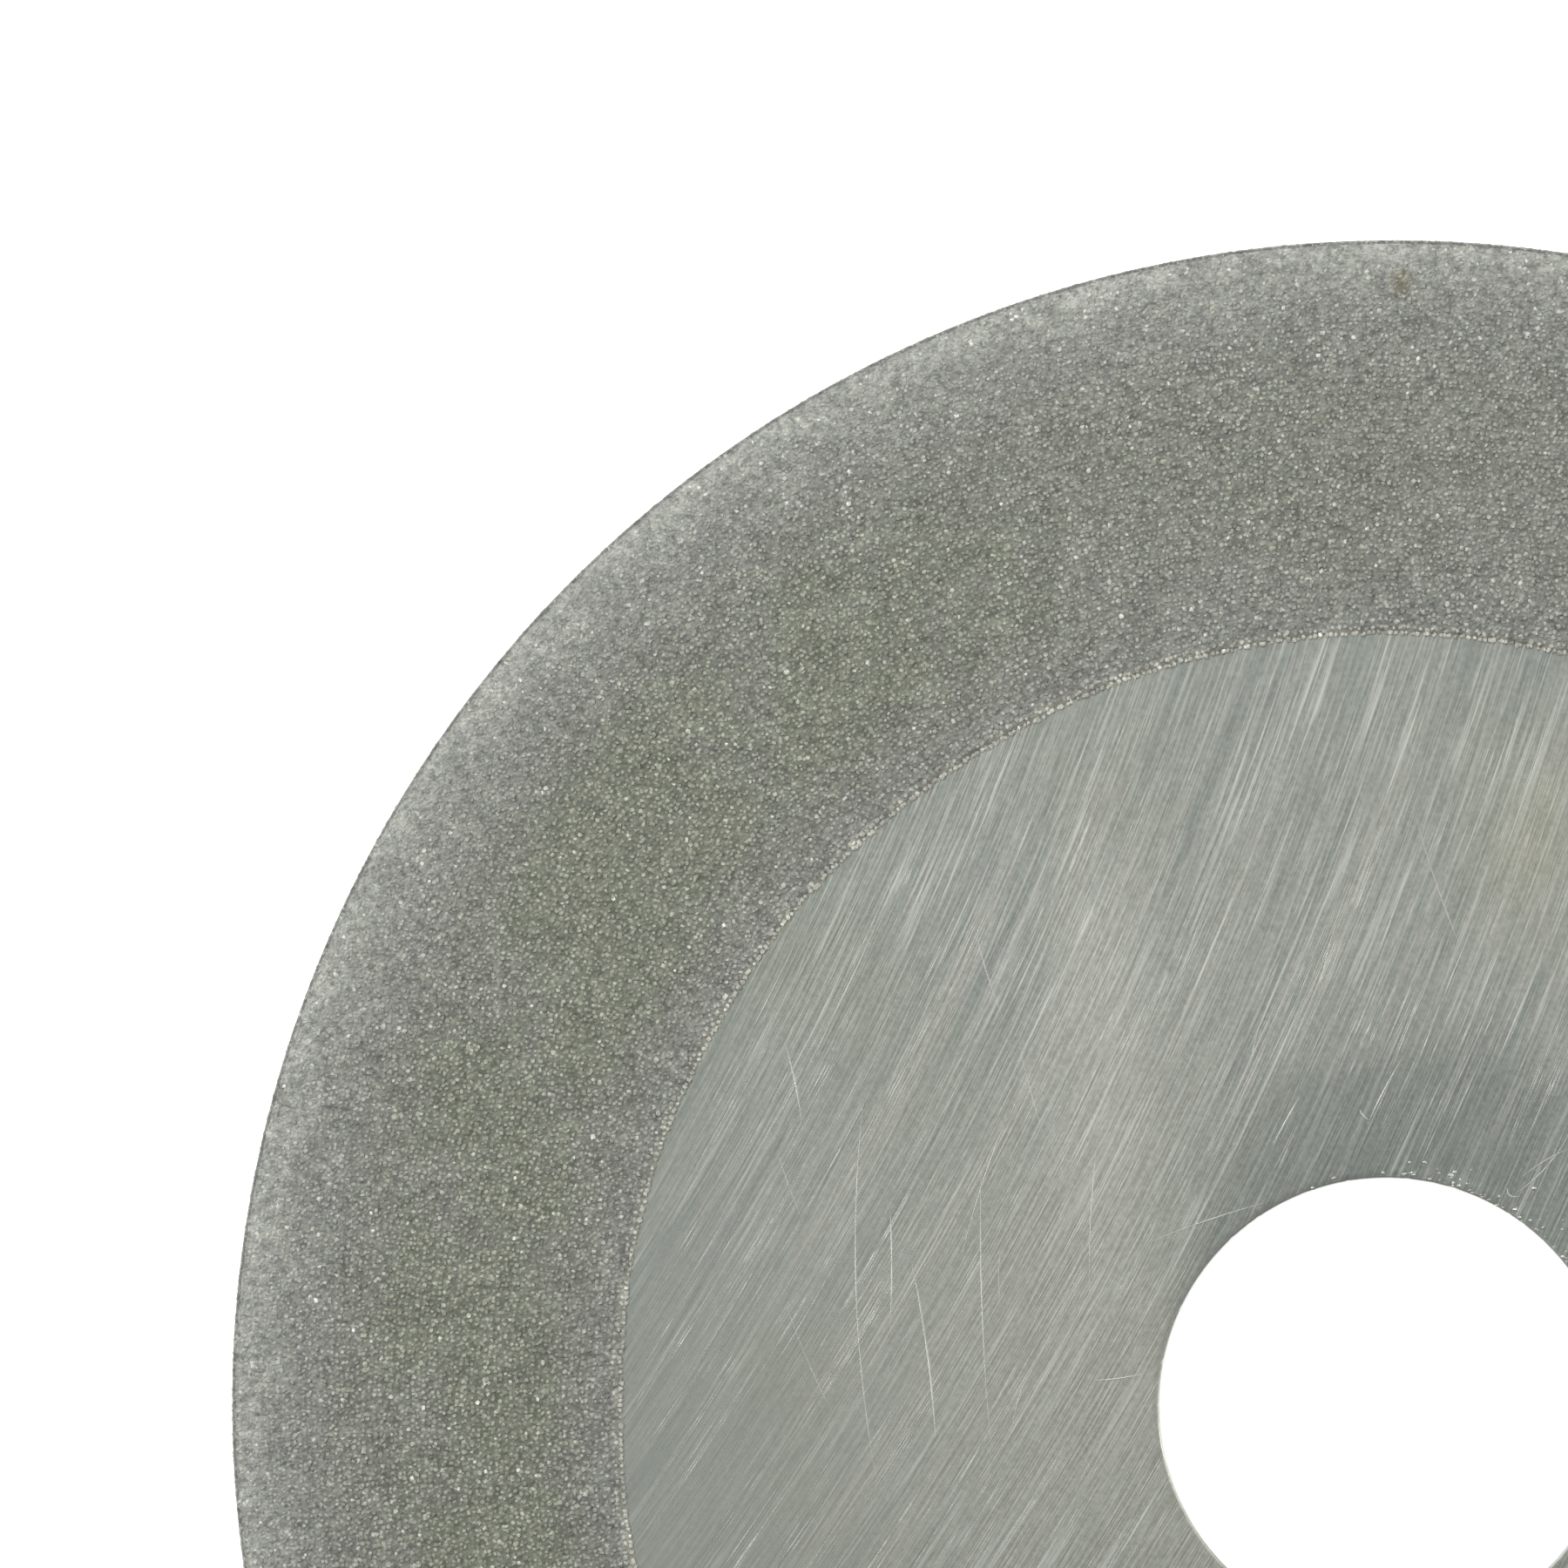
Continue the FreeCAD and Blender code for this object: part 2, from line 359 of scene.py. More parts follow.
def crushed_shapes(rng, count, size):
    """Crushed grains about the origin, each turned at random: (count, 10, 3) and their triangles.

    A grain is two rings of five points, one half a step round from the other, with flat ends. Its
    points are knocked about and it is stretched along its own axes. size is its mean width, and
    the other lengths are in halves of it.
    """
    half_tall, knock, least_stretch, most_stretch, size_spread = 0.75, 0.12, 0.78, 1.2, 0.08
    ring = TURN * np.arange(5) / 5
    ring_after = ring + TURN / 10
    low = np.stack([np.cos(ring), np.sin(ring), np.full(5, -half_tall)], axis=1)
    high = np.stack([np.cos(ring_after), np.sin(ring_after), np.full(5, half_tall)], axis=1)
    shape = np.concatenate([low, high])
    here, after = np.arange(5), (np.arange(5) + 1) % 5
    sides = [np.stack([here, after, here + 5], 1), np.stack([after, after + 5, here + 5], 1)]
    ends = [[(0, 2, 1), (0, 3, 2), (0, 4, 3)], [(5, 6, 7), (5, 7, 8), (5, 8, 9)]]
    triangles = np.concatenate([*sides, *ends])
    knocked = shape + rng.normal(0, knock, (count, 10, 3))
    stretched = knocked * rng.uniform(least_stretch, most_stretch, (count, 1, 3))
    quaternion = rng.normal(size=(count, 4))
    w, x, y, z = (quaternion / np.linalg.norm(quaternion, axis=1, keepdims=True)).T
    turn = np.stack([
        np.stack([1 - 2 * (y * y + z * z), 2 * (x * y - w * z), 2 * (x * z + w * y)], -1),
        np.stack([2 * (x * y + w * z), 1 - 2 * (x * x + z * z), 2 * (y * z - w * x)], -1),
        np.stack([2 * (x * z - w * y), 2 * (y * z + w * x), 1 - 2 * (x * x + y * y)], -1),
    ], axis=1)
    sizes = size / 2 * rng.normal(1, size_spread, (count, 1, 1))
    return sizes * np.einsum("nij,nkj->nki", turn, stretched), triangles


def grain_mesh(name, points, triangles, tone):
    """One mesh of many grains, with a "tone" from 0 to 1 for each grain."""
    count, corners = points.shape[:2]
    faces = (np.arange(count)[:, None, None] * corners + triangles).reshape(-1, 3)
    piece = mesh_object(name, points.reshape(-1, 3), faces)
    tones = piece.data.attributes.new("tone", "FLOAT", "POINT")
    tones.data.foreach_set("value", tone.repeat(corners).astype(np.float32))
    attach(piece, "root")
    return piece


def diamond_grit():
    """Every crystal of the coat, seated on the tack layer, in one piece for each sector.

    A crystal's own axes lie out along the skin, round the ring and along the skin's normal. The
    points that would lie past the wheel's radius are drawn in to it.
    """
    rng = np.random.default_rng(5)
    angle, radius, height, tilt = grit_places(rng)
    crystals, triangles = crushed_shapes(rng, len(angle), GRIT_D)
    outward = np.stack([np.cos(angle), np.sin(angle), np.zeros_like(angle)], axis=1)
    along = np.stack([-np.sin(angle), np.cos(angle), np.zeros_like(angle)], axis=1)
    up = np.array((0.0, 0.0, 1.0))
    normal = outward * np.sin(tilt)[:, None] + up * np.cos(tilt)[:, None]
    across = outward * np.cos(tilt)[:, None] - up * np.sin(tilt)[:, None]
    tall = np.ptp(crystals[:, :, 2], axis=1)
    crystals[:, :, 2] *= np.minimum(1, GRIT_TALL / tall)[:, None]
    crystals[:, :, 2] += TACK_T - crystals[:, :, 2].min(axis=1)[:, None]
    seat = outward * radius[:, None] + up * height[:, None]
    frame_axes = np.stack([across, along, normal], axis=1)
    points = seat[:, None, :] + np.einsum("nki,nij->nkj", crystals, frame_axes)
    off_axis = np.hypot(points[..., 0], points[..., 1])
    points[..., :2] *= np.minimum(1, WHEEL_R / off_axis)[..., None]
    tone = rng.random(len(angle))
    pieces = []
    order = np.argsort(angle % TURN)
    for number, chosen in enumerate(np.array_split(order, GRIT_SECTORS), start=1):
        piece = grain_mesh(f"diamond_grit_{number}", points[chosen], triangles, tone[chosen])
        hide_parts("diamond_grit")
        pieces.append(piece)
    return pieces


# ---------------------------------------------------------------- marks on the hub


def lips(name, paths, width, height):
    """Low lips of metal along paths (count, stations, 2), one for each, as one mesh.

    A lip's section is a triangle on the face. At share s of its length its width is the full one
    times the square root of sin(pi s), and its height is the full one times sin(pi s).
    """
    count, stations = paths.shape[:2]
    blunt, sunk = 0.02, 0.002 * MM
    share = np.sin(math.pi * np.linspace(blunt, 1 - blunt, stations))
    ahead = np.gradient(paths, axis=1)
    side = np.stack([-ahead[..., 1], ahead[..., 0]], axis=-1)
    side /= np.linalg.norm(side, axis=-1, keepdims=True)
    half = (width[:, None] / 2 * np.sqrt(share))[..., None]
    level = PLATE_T - bore_drop(paths[..., 0], paths[..., 1])
    crest = level + height[:, None] * share
    foot = level - sunk
    sections = np.stack([
        np.concatenate([paths - side * half, foot[..., None]], axis=-1),
        np.concatenate([paths + side * half, foot[..., None]], axis=-1),
        np.concatenate([paths, crest[..., None]], axis=-1),
    ], axis=2)
    point = np.arange(3)
    after = (point + 1) % 3
    start = 3 * np.arange(stations - 1)[:, None]
    run = [start + point, start + after, start + 3 + after, start + 3 + point]
    first = np.stack([run[0], run[1], run[2]], axis=-1).reshape(-1, 3)
    second = np.stack([run[0], run[2], run[3]], axis=-1).reshape(-1, 3)
    last = 3 * (stations - 1)
    ends = [(0, 2, 1), (last, last + 1, last + 2)]
    one = np.concatenate([first, second, ends])
    faces = (np.arange(count)[:, None, None] * stations * 3 + one).reshape(-1, 3)
    piece = mesh_object(name, sections.reshape(-1, 3), faces, smooth_below=math.radians(60))
    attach(piece, "root")
    return piece


def ground_scratches():
    """Lips along the coarsest scratches: bundles of arcs about the grinder's far centre.

    An arc sweeps its length divided by its radius, and its radius drifts a little on the way.
    """
    rng = np.random.default_rng(31)
    bundles, in_bundle, stations = 480, 3, 11
    apart, shifted, drift = 0.25 * MM, 2 * MM, 0.03 * MM
    lip_share = 0.09
    spread = np.sqrt(rng.uniform((BORE_R / HUB_R) ** 2, 1, bundles)) * HUB_R
    angle = rng.random(bundles) * TURN
    middle = np.stack([spread * np.cos(angle), spread * np.sin(angle)], axis=1)
    offset = middle.repeat(in_bundle, axis=0) - GRINDER_CENTRE[:2]
    count = len(offset)
    radius = np.linalg.norm(offset, axis=1) + rng.normal(0, apart, count)
    heading = np.arctan2(offset[:, 1], offset[:, 0]) + rng.normal(0, shifted, count) / GRINDER_R
    length = rng.gamma(3.0, 2.2 * MM, count)
    sweep = heading[:, None] + np.linspace(-0.5, 0.5, stations) * (length / radius)[:, None]
    reach = radius[:, None] + rng.normal(0, drift, count)[:, None] * np.linspace(-1, 1, stations)
    paths = np.stack([reach * np.cos(sweep), reach * np.sin(sweep)], axis=-1) + GRINDER_CENTRE[:2]
    off_axis = np.linalg.norm(paths, axis=-1)
    inside = (off_axis.min(axis=1) > BORE_R + 0.4 * MM) & (off_axis.max(axis=1) < HUB_R - 0.6 * MM)
    width = rng.uniform(0.03, 0.065, count)[inside] * MM
    return lips("hub_scratches", paths[inside], width, lip_share * width)


def bowed_path(start, heading, length, bow, stations=15):
    """A path from start in millimetres, at heading in degrees, bowed to its left by bow.

    At share s of its length it is 4 bow s (1 - s) to the left of the straight line.
    """
    share = np.linspace(0, 1, stations)
    turn = math.radians(heading)
    ahead = np.array((math.cos(turn), math.sin(turn)))
    side = np.array((-ahead[1], ahead[0]))
    swing = 4 * bow * share * (1 - share)
    return (np.array(start) + length * share[:, None] * ahead + swing[:, None] * side) * MM


def handling_scratches():
    """Hairlines across the lay, left by handling: long drag marks, short hooks and strays."""
    rng = np.random.default_rng(8)
    stray_count, bow_share, lip_share, drag_width = 26, 0.02, 0.16, 1.7
    drag_marks = [
        bowed_path((-25.7, 15.1), -88, 19, -0.7),
        bowed_path((-19.9, 12.0), -88, 14, -0.2),
        bowed_path((-24.4, 9.5), -90, 6, 0.1),
        bowed_path((-23.4, 7.2), -82, 9, 0.2),
        bowed_path((-29.6, 17.7), -78, 4.0, 0.1),
        bowed_path((-11.8, 7.9), 19, 6.4, 0.1),
        bowed_path((-14.4, 1.2), 8, 2.6, -0.1),
        bowed_path((6.3, 10.4), 49, 4.2, -0.3),
        bowed_path((6.6, 11.2), 31, 2.8, 0.1),
        bowed_path((-5.6, 12.7), 61, 2.9, 0.0),
        bowed_path((5.9, 10.7), -35, 0.7, -0.25),
        bowed_path((-1.3, 14.5), -48, 0.7, -0.08),
        bowed_path((-0.85, 13.95), 62, 3.6, 0.05),
    ]
    spread = rng.uniform(15, 34, stray_count)
    places = rng.random(stray_count) * TURN
    starts = np.stack([spread * np.cos(places), spread * np.sin(places)], axis=1)
    headings = rng.uniform(60, 140, stray_count)
    lengths = rng.uniform(1.5, 9, stray_count)
    strays = [
        bowed_path(start, heading, length, bow_share * length)
        for start, heading, length in zip(starts, headings, lengths)
    ]
    paths = np.array(drag_marks + strays)
    off_axis = np.linalg.norm(paths, axis=-1)
    inside = (off_axis.min(axis=1) > BORE_R + 0.2 * MM) & (off_axis.max(axis=1) < HUB_R - 0.6 * MM)
    paths = paths[inside]
    width = rng.uniform(0.035, 0.06, len(paths)) * MM
    width[: len(drag_marks)] *= drag_width
    return lips("handling_scratches", paths, width, lip_share * width)


def bore_burrs():
    """Crumbs of torn steel left on the rolled edge of the bore, mostly on one side of it.

    Each is half a crushed shape, flattened on the face. They lie about one angle, in degrees, and
    thin out away from the edge, in millimetres.
    """
    rng = np.random.default_rng(77)
    count, middle, spread = 70, 58, 22
    nearest, usual = 0.1, 0.3
    longer, flatness = 1.5, 0.35
    flecks, triangles = crushed_shapes(rng, count, 1.0)
    angle = np.radians(rng.normal(middle, spread, count))
    radius = BORE_R + (nearest + rng.gamma(1.0, usual, count)) * MM
    size = rng.uniform(0.05, 0.17, count)[:, None, None] * MM
    flecks = flecks * size * np.array((longer, 1.0, 1.0))
    flecks[:, :, 2] = np.maximum(flecks[:, :, 2], 0) * flatness
    x, y = radius * np.cos(angle), radius * np.sin(angle)
    seat = np.stack([x, y, PLATE_T - bore_drop(x, y)], axis=1)
    piece = grain_mesh("bore_burrs", seat[:, None, :] + flecks, triangles, rng.random(count))
    return piece


# ---------------------------------------------------------------- materials


def add_node(tree, kind, inputs=None, **settings):
    """Adds a node. inputs maps its sockets to values, or to the nodes or sockets they link to.

    A MapRange node reads from 1 to 2, clamped, and gives from 3 to 4, which are 0 and 1 unless
    set. A colour Mix node gives the colour 6 at share 0 and the colour 7 at share 1.
    """
    node = tree.nodes.new(kind)
    for name, value in settings.items():
        setattr(node, name, value)
    for name, value in (inputs or {}).items():
        source = value.outputs[0] if isinstance(value, bpy.types.Node) else value
        if isinstance(source, bpy.types.NodeSocket):
            tree.links.new(source, node.inputs[name])
        else:
            node.inputs[name].default_value = source
    return node


def paint(hex_code):
    """A linear colour from an sRGB hex code."""
    srgb = [int(hex_code[i : i + 2], 16) / 255 for i in (1, 3, 5)]
    return [c / 12.92 if c <= 0.04045 else ((c + 0.055) / 1.055) ** 2.4 for c in srgb] + [1.0]


def new_material(name):
    """A material with an empty tree, that tree and its shader."""
    material = bpy.data.materials.new(name)
    material.use_nodes = True
    tree = material.node_tree
    tree.nodes.clear()
    shader = add_node(tree, "ShaderNodeBsdfPrincipled")
    add_node(tree, "ShaderNodeOutputMaterial", {"Surface": shader})
    return material, tree, shader


def soft_patch(tree, place, centre, reach, strength):
    """From strength at centre on the front face down to 0 at reach along x and y, smoothly.

    The plate's own thickness is the reach along z, so that the back face has none of it.
    """
    offset = {0: place, 1: (*centre, PLATE_T)}
    away = add_node(tree, "ShaderNodeVectorMath", offset, operation="SUBTRACT")
    shares = {0: away, 1: (*reach, PLATE_T)}
    away = add_node(tree, "ShaderNodeVectorMath", shares, operation="DIVIDE")
    away = add_node(tree, "ShaderNodeVectorMath", {0: away}, operation="LENGTH").outputs[1]
    fade = {"Value": away, 1: 0.0, 2: 1.0, 3: strength, 4: 0.0}
    return add_node(tree, "ShaderNodeMapRange", fade, interpolation_type="SMOOTHSTEP")


# How much of the steel in the middle of the dip is ground, and how far the lines on the hub go
# down where it has been wiped the most: -1 would be all the way.
LEAST_GROUND = 0.25
CALMEST = -0.7


def grinder_lanes(tree, place):
    """Place along and across the grinder's arcs: its turn times GRINDER_R, and its distance."""
    offset = add_node(tree, "ShaderNodeVectorMath", {0: place, 1: GRINDER_CENTRE}, operation="SUBTRACT")
    parts = add_node(tree, "ShaderNodeSeparateXYZ", {0: offset}).outputs
    flat = add_node(tree, "ShaderNodeCombineXYZ", {0: parts[0], 1: parts[1]})
    across = add_node(tree, "ShaderNodeVectorMath", {0: flat}, operation="LENGTH").outputs[1]
    turn = add_node(tree, "ShaderNodeMath", {0: parts[1], 1: parts[0]}, operation="ARCTAN2")
    along = add_node(tree, "ShaderNodeMath", {0: turn, 1: GRINDER_R}, operation="MULTIPLY")
    return add_node(tree, "ShaderNodeCombineXYZ", {0: along, 1: across})


def lay(tree, lanes, length, width, detail, seed):
    """Noise drawn out along the grinder's arcs: marks of this length and width."""
    stretch = {0: lanes, 1: (1 / length, 1 / width, 1.0), 2: (seed, seed, 0.0)}
    marks = add_node(tree, "ShaderNodeVectorMath", stretch, operation="MULTIPLY_ADD")
    inputs = {"Vector": marks, "Scale": 1.0, "Detail": detail, "Roughness": 0.6}
    return add_node(tree, "ShaderNodeTexNoise", inputs, noise_dimensions="2D").outputs[0]


def reached_by_grinder(tree, place, height):
    """From LEAST_GROUND in the dip at the bore to 1 around it and all over the back face."""
    dip = {0: place, 1: (*MISSED_CENTRE, PLATE_T)}
    from_dip = add_node(tree, "ShaderNodeVectorMath", dip, operation="DISTANCE").outputs[1]
    inner, outer = MISSED_R - 3.3 * MM, MISSED_R + 0.8 * MM
    reach = {"Value": from_dip, 1: inner, 2: outer, 3: LEAST_GROUND, 4: 1.0}
    front = add_node(tree, "ShaderNodeMapRange", reach, interpolation_type="SMOOTHSTEP")
    back = add_node(tree, "ShaderNodeMapRange", {"Value": height, 1: 0.0, 2: 0.5 * PLATE_T, 3: 1.0, 4: 0.0})
    return add_node(tree, "ShaderNodeMath", {0: front, 1: back}, operation="MAXIMUM")


def stained_steel(tree, place, from_axis, bands):
    """Cool and warm bands of steel under the hub's stains, without the fine lines.

    Old coolant has left tan clouds and a yellow spot, the hub is greyer towards the mask, and it
    is rubbed pale beside the bore.
    """
    base = add_node(tree, "ShaderNodeMapRange", {"Value": bands, 1: 0.3, 2: 0.7})
    cool, warm = paint("#9da39c"), paint("#c0c1b8")
    steel = add_node(tree, "ShaderNodeMix", {0: base, 6: cool, 7: warm}, data_type="RGBA").outputs[2]
    cloud_inputs = {"Vector": place, "Scale": 1 / (12 * MM), "Detail": 3.0}
    cloud = add_node(tree, "ShaderNodeTexNoise", cloud_inputs)
    clouded = add_node(tree, "ShaderNodeMapRange", {"Value": cloud, 1: 0.52, 2: 0.75, 3: 0.0, 4: 0.3})
    greyer = {"Value": from_axis, 1: 27 * MM, 2: HUB_R, 3: 0.0, 4: 0.4}
    stains = (
        (clouded, "#adac98"),
        (add_node(tree, "ShaderNodeMapRange", greyer), "#99a099"),
        (soft_patch(tree, place, (-14 * MM, 1 * MM), (18 * MM, 20 * MM), 0.75), "#bfc0b4"),
        (soft_patch(tree, place, (-14 * MM, 18 * MM), (4.5 * MM, 16 * MM), 0.5), "#d2d1c7"),
        (soft_patch(tree, place, (7 * MM, 28 * MM), (5 * MM, 9 * MM), 0.35), "#bfbda2"),
    )
    for share, colour in stains:
        stained = {0: share, 6: steel, 7: paint(colour)}
        steel = add_node(tree, "ShaderNodeMix", stained, data_type="RGBA").outputs[2]
    return steel


def hazed_steel(tree, place, steel, haze, calm):
    """The steel's colour times a factor near 1: fine scratches and a quarter-millimetre mottle."""
    mottle_inputs = {"Vector": place, "Scale": 1 / (0.25 * MM), "Detail": 2.0}
    mottle = add_node(tree, "ShaderNodeTexNoise", mottle_inputs)
    fog = add_node(tree, "ShaderNodeMath", {0: haze, 1: mottle}, operation="ADD")
    least = add_node(tree, "ShaderNodeMapRange", {"Value": calm, 1: CALMEST, 2: 0.0, 3: 0.95, 4: 0.86})
    most = add_node(tree, "ShaderNodeMapRange", {"Value": calm, 1: CALMEST, 2: 0.0, 3: 1.05, 4: 1.15})
    fog = add_node(tree, "ShaderNodeMapRange", {"Value": fog, 1: 0.75, 2: 1.25, 3: least, 4: most})
    return add_node(tree, "ShaderNodeVectorMath", {0: steel, "Scale": fog}, operation="SCALE")


def lit_lines(tree, bundles, streaks, ground, calm):
    """From 0 to 1 where a coarse scratch catches the light: the brightest streaks of a bundle."""
    busy = add_node(tree, "ShaderNodeMapRange", {"Value": bundles, 1: 0.42, 2: 0.62, 3: 0.15, 4: 1.0})
    bright = add_node(tree, "ShaderNodeMapRange", {"Value": streaks, 1: 0.52, 2: 0.74})
    lines = add_node(tree, "ShaderNodeMath", {0: busy, 1: bright}, operation="MULTIPLY")
    fade = add_node(tree, "ShaderNodeMapRange", {"Value": ground, 1: LEAST_GROUND, 2: 1.0, 3: 0.6, 4: 1.0})
    lines = add_node(tree, "ShaderNodeMath", {0: lines, 1: fade}, operation="MULTIPLY")
    return add_node(tree, "ShaderNodeMath", {0: calm, 1: lines, 2: lines}, operation="MULTIPLY_ADD")


def edged_steel(tree, steel, from_axis, height):
    """The steel's colour with a tan fringe along the mask in front and a painted highlight at the bore."""
    fringe = {"Value": from_axis, 1: HUB_R - 0.4 * MM, 2: HUB_R - 0.2 * MM}
    fringe = add_node(tree, "ShaderNodeMapRange", fringe)
    in_front = add_node(tree, "ShaderNodeMapRange", {"Value": height, 1: 0.0, 2: PLATE_T, 3: 0.0, 4: 0.35})
    fringe = add_node(tree, "ShaderNodeMath", {0: fringe, 1: in_front}, operation="MULTIPLY")
    at_mask = {0: fringe, 6: steel, 7: paint("#b5ad93")}
    steel = add_node(tree, "ShaderNodeMix", at_mask, data_type="RGBA").outputs[2]
    # Painted highlight along the bore's rounded edge.
    bore_edge_highlight = {"Value": from_axis, 1: BORE_R + 0.08 * MM, 2: BORE_R + 0.3 * MM, 3: 0.85, 4: 0.0}
    at_bore = {0: add_node(tree, "ShaderNodeMapRange", bore_edge_highlight), 6: steel, 7: paint("#e4e6de")}
    return add_node(tree, "ShaderNodeMix", at_bore, data_type="RGBA").outputs[2]


def ground_steel():
    """Low-carbon steel, surface ground: arcs of scratches that catch the light in lines.

    Broad soft bands are passes of the wheel, bundles of bright lines its coarse grains, and the
    haze between them its fine ones. The punched edge of the bore, which the grinder misses, is a
    dull cool grey, and the plating bath has left a tan stain along the mask. The real scratches
    are a few hundredths of a millimetre wide, and are drawn wider so that they show. calm takes
    the lines away towards one side of the hub, which has been wiped the most.
    """
    material, tree, shader = new_material("surface_ground_steel")
    place = add_node(tree, "ShaderNodeTexCoord").outputs["Object"]
    height = add_node(tree, "ShaderNodeSeparateXYZ", {0: place}).outputs[2]
    from_axis = add_node(tree, "ShaderNodeVectorMath", {0: place}, operation="LENGTH").outputs[1]
    lanes = grinder_lanes(tree, place)
    bands = lay(tree, lanes, length=40 * MM, width=1.1 * MM, detail=2.0, seed=7.0)
    bundles = lay(tree, lanes, length=30 * MM, width=1.6 * MM, detail=1.0, seed=19.0)
    streaks = lay(tree, lanes, length=10 * MM, width=0.2 * MM, detail=2.0, seed=31.0)
    haze = lay(tree, lanes, length=2.5 * MM, width=0.12 * MM, detail=2.0, seed=57.0)
    calm = soft_patch(tree, place, (-36 * MM, -4 * MM), (26 * MM, 36 * MM), CALMEST)
    ground = reached_by_grinder(tree, place, height)

    steel = stained_steel(tree, place, from_axis, bands)
    missed = {0: ground, 6: paint("#9aa19a"), 7: steel}
    steel = add_node(tree, "ShaderNodeMix", missed, data_type="RGBA").outputs[2]
    steel = hazed_steel(tree, place, steel, haze, calm)
    lit = {0: lit_lines(tree, bundles, streaks, ground, calm), 6: steel, 7: paint("#dcded6")}
    steel = add_node(tree, "ShaderNodeMix", lit, data_type="RGBA").outputs[2]
    steel = edged_steel(tree, steel, from_axis, height)

    relief = add_node(tree, "ShaderNodeMath", {0: streaks, 1: 2.0, 2: haze}, operation="MULTIPLY_ADD")
    depth = add_node(tree, "ShaderNodeMapRange", {"Value": calm, 1: CALMEST, 2: 0.0, 3: 0.3, 4: 1.0})
    bump = {"Strength": depth, "Distance": 0.006 * MM, "Height": relief}
    dull = add_node(tree, "ShaderNodeMapRange", {"Value": bands, 1: 0.3, 2: 0.7, 3: 0.42, 4: 0.34})
    tree.links.new(steel, shader.inputs["Base Color"])
    tree.links.new(dull.outputs[0], shader.inputs["Roughness"])
    tree.links.new(add_node(tree, "ShaderNodeBump", bump).outputs[0], shader.inputs["Normal"])
    shader.inputs["Metallic"].default_value = 1.0
    return material


def glinting_steel(name, dull, bright, dash):
    """The same steel on the crest of a scratch or on a crumb, with painted glints along it.

    It goes from dull to bright in dashes about as long as dash.
    """
    material, tree, shader = new_material(name)
    place = add_node(tree, "ShaderNodeTexCoord").outputs["Object"]
    dashes = add_node(tree, "ShaderNodeTexNoise", {"Vector": place, "Scale": 1 / dash, "Detail": 2.0})
    share = add_node(tree, "ShaderNodeMapRange", {"Value": dashes, 1: 0.4, 2: 0.65})
    # Painted glints: the colour goes from dull to bright in dashes.
    glint_dashes = {0: share, 6: paint(dull), 7: paint(bright)}
    steel = add_node(tree, "ShaderNodeMix", glint_dashes, data_type="RGBA").outputs[2]
    tree.links.new(steel, shader.inputs["Base Color"])
    shader.inputs["Metallic"].default_value = 1.0
    shader.inputs["Roughness"].default_value = 0.42
    return material


def rim_light_and_shade(tree, place):
    """A factor that rises as the cube of the way over the last 6 mm, and falls on the rim's bend.

    The rise is painted light over the rolled rim, and the fall on the bend is painted shade.
    """
    from_axis = add_node(tree, "ShaderNodeVectorMath", {0: place}, operation="LENGTH").outputs[1]
    # Painted light: paler over the last 6 mm.
    share = add_node(tree, "ShaderNodeMapRange", {"Value": from_axis, 1: RIM_ROLL_START, 2: PLATE_R})
    late = add_node(tree, "ShaderNodeMath", {0: share, 1: 3.0}, operation="POWER")
    paler = add_node(tree, "ShaderNodeMath", {0: late, 1: 0.43, 2: 0.94}, operation="MULTIPLY_ADD")
    # Painted shade on the rim's bend.
    bend = {"Value": from_axis, 1: RIM_CORNER_START - 0.1 * MM, 2: PLATE_R + 0.05 * MM, 3: 1.0, 4: 0.6}
    bend_shade = add_node(tree, "ShaderNodeMapRange", bend)
    return add_node(tree, "ShaderNodeMath", {0: paler, 1: bend_shade}, operation="MULTIPLY")


def olive_band(tree, place):
    """From 0 to about 1 over the middle of the ring, in clouds, most at -X.

    Old coolant has dulled it to olive there.
    """
    from_axis = add_node(tree, "ShaderNodeVectorMath", {0: place}, operation="LENGTH").outputs[1]
    inner = add_node(tree, "ShaderNodeMapRange", {"Value": from_axis, 1: 38.5 * MM, 2: 42.5 * MM})
    outer = {"Value": from_axis, 1: 49 * MM, 2: 53 * MM, 3: 1.0, 4: 0.0}
    outer = add_node(tree, "ShaderNodeMapRange", outer)
    blotches = {"Vector": place, "Scale": 1 / (9 * MM), "Detail": 4.0, "Roughness": 0.65}
    cloud = add_node(tree, "ShaderNodeTexNoise", blotches)
    cloudy = add_node(tree, "ShaderNodeMapRange", {"Value": cloud, 1: 0.35, 2: 0.6, 3: 0.3, 4: 1.0})
    band = add_node(tree, "ShaderNodeMath", {0: inner, 1: outer}, operation="MULTIPLY")
    band = add_node(tree, "ShaderNodeMath", {0: band, 1: cloudy}, operation="MULTIPLY")
    aside = add_node(tree, "ShaderNodeSeparateXYZ", {0: place}).outputs[0]
    lopsided = {"Value": aside, 1: -30 * MM, 2: 5 * MM, 3: 1.3, 4: 0.35}
    lopsided = add_node(tree, "ShaderNodeMapRange", lopsided)
    return add_node(tree, "ShaderNodeMath", {0: band, 1: lopsided}, operation="MULTIPLY")


def coolant_stain(tree, place, colour):
    """The coat's colour with one small brown spot near the rim, where a drop of coolant dried."""
    spot = soft_patch(tree, place, (0.75 * MM, 55.0 * MM), (0.9 * MM, 1.2 * MM), 0.75)
    browned = {0: spot, 6: colour, 7: paint("#cfc4a8")}
    mixed = add_node(tree, "ShaderNodeMix", browned, data_type="RGBA", blend_type="MULTIPLY")
    return mixed.outputs[2]


